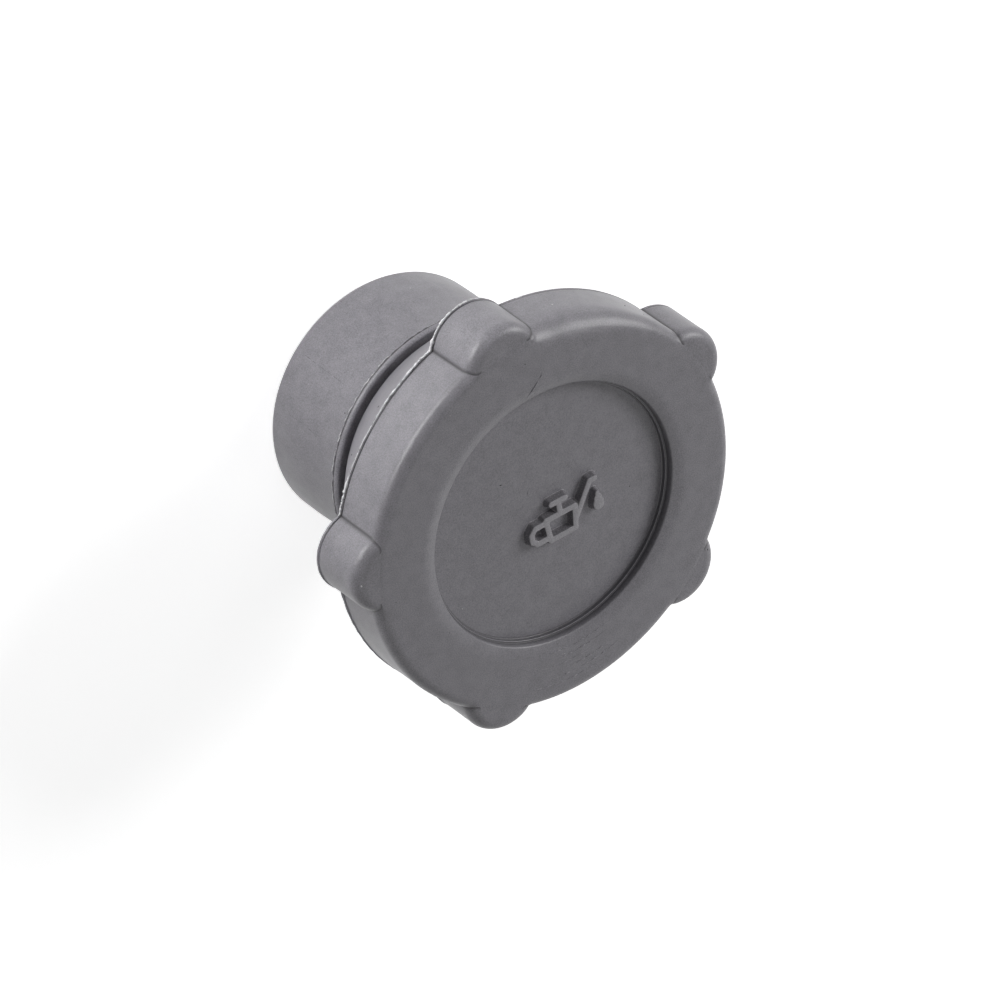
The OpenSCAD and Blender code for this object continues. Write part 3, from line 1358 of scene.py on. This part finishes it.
def blank_material(name: str) -> tuple[bpy.types.Material, bpy.types.NodeTree]:
    """Start a material with an empty node tree.

    Args:
        name: Name of the material.

    Returns:
        The material and its tree.
    """
    made = bpy.data.materials.new(name)
    made.use_nodes = True
    made.node_tree.nodes.clear()
    return made, made.node_tree


class Speckle(Enum):
    """What a speck on the rubber is: dark grit in a pit, or pale dust."""

    GRIT = "2b2a2c"
    DUST = "d9d9da"


@dataclass(frozen=True)
class NitrileRubber:
    """Black nitrile rubber, compression moulded and greyed by bloom.

    On the raised sign a smoother copy of it is used, whose lighter colours are painted light on the sign's
    raised tops.

    Attributes:
        name: Name of the material.
        bloom: Colour where the bloom lies thick, as sRGB hex.
        dark: Colour where it is thin.
        creased: Colour of the painted shade, where the mesh attribute "shade" is 1.
        roughness: Roughness in the middle of its range.
        grain_mm: Size of the mould's grain.
        mottle_mm: Size of the patches of bloom.
        bump_mm: Depth of the grain.
    """

    name: str = "moulded_nitrile_rubber"
    bloom: str = "939197"
    dark: str = "646267"
    creased: str = "2c2a2e"
    roughness: float = 0.36
    # The real grain is about 0.05 mm, too fine to show, so it is drawn four times as coarse
    grain_mm: float = 0.2
    mottle_mm: float = 2.2
    bump_mm: float = 0.03

    def build(self) -> bpy.types.Material:
        """Make the material.

        Returns:
            The material.
        """
        # Moulded rubber: to the eye a soft satin sheen over a mottled grey, with a fine grain in it
        made, tree = blank_material(self.name)
        where = add_node(tree, "ShaderNodeTexCoord").outputs["Object"]
        grain = add_node(tree, "ShaderNodeTexNoise",
                         {"Vector": where, "Scale": 1 / (self.grain_mm * MM), "Detail": 2.0,
                          "Roughness": 0.7})
        mottle = add_node(tree, "ShaderNodeTexNoise",
                          {"Vector": where, "Scale": 1 / (self.mottle_mm * MM), "Detail": 3.0})
        both = add_node(tree, "ShaderNodeMath", {0: mottle.outputs[0], 1: 0.35, 2: grain.outputs[0]},
                        operation="MULTIPLY_ADD")
        share = add_node(tree, "ShaderNodeMapRange",
                         {"Value": both.outputs[0], "From Min": 0.38, "From Max": 0.97})
        colour = add_node(tree, "ShaderNodeMix",
                          {"Factor": share.outputs[0], 6: linear(self.dark), 7: linear(self.bloom)},
                          data_type="RGBA")
        # Painted shade: the mesh attribute "shade" darkens the colour towards creased
        shade = add_node(tree, "ShaderNodeAttribute", attribute_name="shade")
        dirty = add_node(tree, "ShaderNodeMix",
                         {"Factor": shade.outputs["Fac"], 6: colour.outputs[2], 7: linear(self.creased)},
                         data_type="RGBA")
        matt = add_node(tree, "ShaderNodeMapRange",
                        {"Value": grain.outputs[0], "From Min": 0.3, "From Max": 0.7,
                         "To Min": self.roughness - 0.08, "To Max": self.roughness + 0.1})
        bump = add_node(tree, "ShaderNodeBump", {"Height": grain.outputs[0], "Distance": self.bump_mm * MM})
        shader = add_node(tree, "ShaderNodeBsdfPrincipled",
                          {"Base Color": dirty.outputs[2], "Roughness": matt.outputs[0], "IOR": 1.52,
                           "Normal": bump.outputs[0]})
        add_node(tree, "ShaderNodeOutputMaterial", {"Surface": shader.outputs[0]})
        return made


@dataclass(frozen=True)
class GrimyRubber:
    """Rubber in a scratch or a pit.

    Attributes:
        dark: Colour where oily dirt sits in it, as sRGB hex.
        pale: Colour where it is only rid of its bloom.
        patches: Patches of dirt per millimetre.
    """

    dark: str = "434145"
    pale: str = "656368"
    patches: float = 1.5

    def build(self) -> bpy.types.Material:
        """Make the material.

        Returns:
            The material.
        """
        # Scratched rubber: to the eye dark and dull, because the bloom is gone and dirt sits in it
        made, tree = blank_material("grimy_nitrile_rubber")
        where = add_node(tree, "ShaderNodeTexCoord").outputs["Object"]
        patch = add_node(tree, "ShaderNodeTexNoise",
                         {"Vector": where, "Scale": self.patches / MM, "Detail": 3.0})
        colour = add_node(tree, "ShaderNodeMix",
                          {"Factor": patch.outputs[0], 6: linear(self.dark), 7: linear(self.pale)},
                          data_type="RGBA")
        shader = add_node(tree, "ShaderNodeBsdfPrincipled",
                          {"Base Color": colour.outputs[2], "Roughness": 0.55, "IOR": 1.52})
        add_node(tree, "ShaderNodeOutputMaterial", {"Surface": shader.outputs[0]})
        return made


@dataclass(frozen=True)
class TornRubber:
    """Rubber flash torn by hand.

    Attributes:
        white: Colour where it whitened as it stretched, as sRGB hex.
        grey: Colour where it did so less.
        patch_mm: Size of the whitened patches.
        bump_mm: Depth of the torn surface.
    """

    white: str = "e6e6e8"
    grey: str = "a5a4a8"
    patch_mm: float = 0.8
    bump_mm: float = 0.04

    def build(self) -> bpy.types.Material:
        """Make the material.

        Returns:
            The material.
        """
        # Torn rubber: to the eye chalky white in patches, rough and without a sheen
        made, tree = blank_material("torn_nitrile_rubber")
        where = add_node(tree, "ShaderNodeTexCoord").outputs["Object"]
        patch = add_node(tree, "ShaderNodeTexNoise",
                         {"Vector": where, "Scale": 1 / (self.patch_mm * MM), "Detail": 4.0})
        share = add_node(tree, "ShaderNodeMapRange",
                         {"Value": patch.outputs[0], "From Min": 0.35, "From Max": 0.5})
        colour = add_node(tree, "ShaderNodeMix",
                          {"Factor": share.outputs[0], 6: linear(self.grey), 7: linear(self.white)},
                          data_type="RGBA")
        bump = add_node(tree, "ShaderNodeBump", {"Height": patch.outputs[0], "Distance": self.bump_mm * MM})
        shader = add_node(tree, "ShaderNodeBsdfPrincipled",
                          {"Base Color": colour.outputs[2], "Roughness": 0.8, "Normal": bump.outputs[0]})
        add_node(tree, "ShaderNodeOutputMaterial", {"Surface": shader.outputs[0]})
        return made


@dataclass(frozen=True)
class SpeckFinish:
    """A speck of grit or dust.

    Attributes:
        kind: Which of the two it is.
        grains: Grains per millimetre.
    """

    kind: Speckle
    grains: float = 9.0

    def build(self) -> bpy.types.Material:
        """Make the material.

        Returns:
            The material.
        """
        # Dry mineral dirt: to the eye dull, and mottled at the size of its own grains
        made, tree = blank_material("speck_" + self.kind.name.lower())
        where = add_node(tree, "ShaderNodeTexCoord").outputs["Object"]
        grains = add_node(tree, "ShaderNodeTexNoise", {"Vector": where, "Scale": self.grains / MM})
        colour = add_node(tree, "ShaderNodeMix",
                          {"Factor": grains.outputs[0], 6: linear(self.kind.value),
                           7: (0.75, 0.75, 0.75, 1.0)},
                          data_type="RGBA", blend_type="MULTIPLY")
        shader = add_node(tree, "ShaderNodeBsdfPrincipled",
                          {"Base Color": colour.outputs[2], "Roughness": 0.85})
        add_node(tree, "ShaderNodeOutputMaterial", {"Surface": shader.outputs[0]})
        return made


# The studio


def toward(azimuth: float, elevation: float) -> Vector:
    """Unit vector from the cap towards an azimuth and an elevation in degrees."""
    a, e = math.radians(azimuth), math.radians(elevation)
    return Vector((math.cos(a) * math.cos(e), math.sin(a) * math.cos(e), math.sin(e)))


def hang(light: bpy.types.AreaLight, place: Vector, back: Vector) -> bpy.types.Object:
    """Hang an area light where the camera doesn't see it.

    Args:
        light: The light.
        place: Where it hangs, in metres.
        back: The way that its back looks.

    Returns:
        The lamp.
    """
    lamp = bpy.data.objects.new(light.name, light)
    lamp.location = place
    lamp.rotation_mode = "QUATERNION"
    lamp.rotation_quaternion = back.to_track_quat("Z", "Y")
    lamp.visible_camera = False
    bpy.context.scene.collection.objects.link(lamp)
    return lamp


@dataclass(frozen=True)
class Viewpoint:
    """The photograph's camera, from a fit to the cap's outline and its round edges.

    Attributes:
        place: Where it stands, in metres.
        azimuth: Azimuth from which it looks, in degrees.
        elevation: Elevation from which it looks.
        roll: How far it is rolled, since the photograph shows the cap on its side.
        focal_over_width: Focal length over the width of the sensor.
        sensor: Width of the sensor, in mm.
    """

    place: tuple[float, float, float] = (-0.2262, 0.4364, 0.5265)
    azimuth: float = 117.063
    elevation: float = 45.026
    roll: float = 125.497
    focal_over_width: float = 4.6331
    sensor: float = 36.0

    def build(self) -> bpy.types.Object:
        """Make the camera and set it as the scene's.

        Returns:
            The camera.
        """
        data = bpy.data.cameras.new("camera")
        data.sensor_width = self.sensor
        data.lens = self.sensor * self.focal_over_width
        data.clip_start, data.clip_end = 0.05, 20.0
        camera = bpy.data.objects.new("camera", data)
        bpy.context.scene.collection.objects.link(camera)
        back = toward(self.azimuth, self.elevation)
        level = toward(self.azimuth + 90, 0)
        roll = math.radians(self.roll)
        right = level * math.cos(roll) + back.cross(level) * math.sin(roll)
        turn = Matrix((right, back.cross(right), back)).transposed().to_4x4()
        camera.matrix_world = Matrix.Translation(self.place) @ turn
        bpy.context.scene.camera = camera
        return camera


@dataclass(frozen=True)
class SoftLamp:
    """A round soft box aimed at the cap.

    Attributes:
        name: Name of the lamp.
        azimuth: Azimuth at which it hangs, in degrees.
        elevation: Elevation at which it hangs.
        size: Its diameter, in metres.
        power: Its power, in watts.
        distance: Its distance from the point that it is aimed at, in metres.
    """

    name: str
    azimuth: float
    elevation: float
    size: float
    power: float
    distance: float = 0.8

    def build(self, target: Vector) -> bpy.types.Object:
        """Make the lamp.

        Args:
            target: The point that it is aimed at, in metres.

        Returns:
            The lamp.
        """
        light = bpy.data.lights.new(self.name, "AREA")
        light.shape = "DISK"
        light.size, light.energy = self.size, self.power
        way = toward(self.azimuth, self.elevation)
        return hang(light, target + way * self.distance, way)


@dataclass(frozen=True)
class Card:
    """A glowing card that stands or lies beside the cap, such as a reflector or a strip light.

    Attributes:
        name: Name of the card.
        azimuth: Azimuth at which it stands, in degrees.
        reach: Its distance from the cap's axis, in metres.
        height: Height of its middle.
        width: Its width.
        tall: Its height from edge to edge.
        facing: How far it is turned up from facing the axis, in degrees.
        power: Its power, in watts.
    """

    name: str
    azimuth: float
    reach: float
    height: float
    width: float
    tall: float
    facing: float
    power: float

    def build(self) -> bpy.types.Object:
        """Make the card.

        Returns:
            The lamp.
        """
        light = bpy.data.lights.new(self.name, "AREA")
        light.shape = "RECTANGLE"
        light.size, light.size_y, light.energy = self.width, self.tall, self.power
        a = math.radians(self.azimuth)
        place = Vector((self.reach * math.cos(a), self.reach * math.sin(a), self.height))
        return hang(light, place, toward(self.azimuth, -self.facing))


@dataclass(frozen=True)
class Studio:
    """A plain white floor, a dim sky, soft lamps over the cap and cards low beside it.

    Attributes:
        floor_half: Half the width of the floor, in metres.
        paper: Share of the light that the floor throws back at the cap.
        glow: Strength at which the floor shows white to the camera.
        sky: Strength of the sky that lights the cap.
        aim: Height of the point that the soft lamps are aimed at, in metres.
        lamps: The soft lamps.
        cards: The cards.
    """

    floor_half: float = 2.0
    paper: float = 0.82
    glow: float = 0.72
    sky: float = 0.02
    aim: float = 0.03
    lamps: tuple[SoftLamp, ...] = (
        SoftLamp("rim_light", azimuth=15, elevation=32, size=0.44, power=3.7),
        SoftLamp("side_light", azimuth=228, elevation=58, size=0.5, power=0.6),
        SoftLamp("front_fill", azimuth=82, elevation=42, size=0.25, power=0.27),
        SoftLamp("back_fill", azimuth=324, elevation=55, size=0.4, power=0.1),
        SoftLamp("low_fill", azimuth=300, elevation=20, size=0.4, power=0.25),
    )
    cards: tuple[Card, ...] = (
        Card("near_card_left", azimuth=120, reach=0.075, height=0.017, width=0.06, tall=0.04, facing=45,
             power=0.0045),
        Card("near_card_right", azimuth=90, reach=0.075, height=0.017, width=0.06, tall=0.04, facing=45,
             power=0.003),
        Card("low_strip", azimuth=123, reach=0.22, height=0.019, width=0.15, tall=0.036, facing=0,
             power=0.285),
    )

    def shown(self, tree: bpy.types.NodeTree) -> bpy.types.NodeSocket:
        """Tell the rays that show the background from those that light the cap.

        Args:
            tree: The node tree to add to.

        Returns:
            A socket that is 1 for camera, glossy and transmission rays.
        """
        rays = add_node(tree, "ShaderNodeLightPath")
        bent = add_node(tree, "ShaderNodeMath",
                        {0: rays.outputs["Is Glossy Ray"], 1: rays.outputs["Is Transmission Ray"]},
                        operation="MAXIMUM")
        either = add_node(tree, "ShaderNodeMath", {0: rays.outputs["Is Camera Ray"], 1: bent.outputs[0]},
                          operation="MAXIMUM")
        return either.outputs[0]

    def lay_floor(self) -> bpy.types.Object:
        """Lay the floor, which shows white and keeps the cap's shadow.

        Returns:
            The floor.
        """
        h = self.floor_half
        mesh = bpy.data.meshes.new("floor")
        mesh.from_pydata([(-h, -h, 0), (h, -h, 0), (h, h, 0), (-h, h, 0)], [], [(0, 1, 2, 3)])
        floor = bpy.data.objects.new("floor", mesh)
        bpy.context.scene.collection.objects.link(floor)
        # Matt white paper: to the eye an even white that only the cap's shadow darkens
        made, tree = blank_material("white_paper_floor")
        matt = add_node(tree, "ShaderNodeBsdfDiffuse", {"Color": (self.paper, self.paper, self.paper, 1)})
        lit = add_node(tree, "ShaderNodeBsdfDiffuse", {"Color": (1, 1, 1, 1)})
        glow = add_node(tree, "ShaderNodeEmission", {"Color": (1, 1, 1, 1), "Strength": self.glow})
        seen = add_node(tree, "ShaderNodeAddShader", {0: lit.outputs[0], 1: glow.outputs[0]})
        mix = add_node(tree, "ShaderNodeMixShader",
                       {0: self.shown(tree), 1: matt.outputs[0], 2: seen.outputs[0]})
        add_node(tree, "ShaderNodeOutputMaterial", {"Surface": mix.outputs[0]})
        mesh.materials.append(made)
        return floor

    def paint_sky(self) -> None:
        """Make the sky: white behind the cap, and dim where it lights it."""
        world = bpy.data.worlds.new("sky")
        bpy.context.scene.world = world
        world.use_nodes = True
        tree = world.node_tree
        tree.nodes.clear()
        dim = add_node(tree, "ShaderNodeBackground", {"Color": (1, 1, 1, 1), "Strength": self.sky})
        white = add_node(tree, "ShaderNodeBackground", {"Color": (1, 1, 1, 1), "Strength": 1.0})
        mix = add_node(tree, "ShaderNodeMixShader",
                       {0: self.shown(tree), 1: dim.outputs[0], 2: white.outputs[0]})
        add_node(tree, "ShaderNodeOutputWorld", {"Surface": mix.outputs[0]})

    def build(self) -> None:
        """Make the floor, the sky and the lamps."""
        self.lay_floor()
        self.paint_sky()
        for lamp in self.lamps:
            lamp.build(Vector((0, 0, self.aim)))
        for card in self.cards:
            card.build()
        for light in (*self.lamps, *self.cards):
            log.info("light %s: %.4f W", light.name, light.power)


def main() -> None:
    """Build the camera and the studio, then the pieces in order."""
    logging.basicConfig(level=logging.INFO, format="%(name)s %(message)s")
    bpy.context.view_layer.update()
    scene = bpy.context.scene
    scene.view_settings.view_transform = "Standard"
    Viewpoint().build()
    Studio().build()
    sizes = CapSizes()
    rubber = NitrileRubber().build()
    body = RubberBody(sizes).build()
    body.data.materials.append(rubber)
    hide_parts(NODE)
    sign = OilSign(sizes.recess_z).build()
    # The sign's copy is smoother, and its lighter colours are painted light for the sign's lit tops
    painted_shading = NitrileRubber("sign_rubber_painted_lighter", bloom="a19fa4", dark="8f8d92", roughness=0.25)
    sign.data.materials.append(painted_shading.build())
    wear, torn = Wear(sizes), TornRubber().build()
    lines = [wear.flash().build(body, torn), wear.nicks().build(body, torn),
             wear.scratches().build(body, GrimyRubber().build()), wear.wrinkles().build(body, rubber)]
    grit = Specks("pit_grit", per_square_metre=2600, smallest=0.06, largest=0.16, seed=3)
    dust = Specks("pale_dust", per_square_metre=1800, smallest=0.05, largest=0.12, seed=11)
    specks = [grit.build(body, SpeckFinish(Speckle.GRIT).build()),
              dust.build(body, SpeckFinish(Speckle.DUST).build())]
    for piece in (body, sign, *lines, *specks):
        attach(piece, BODY)
        report(piece)


if __name__ == "__main__":
    main()
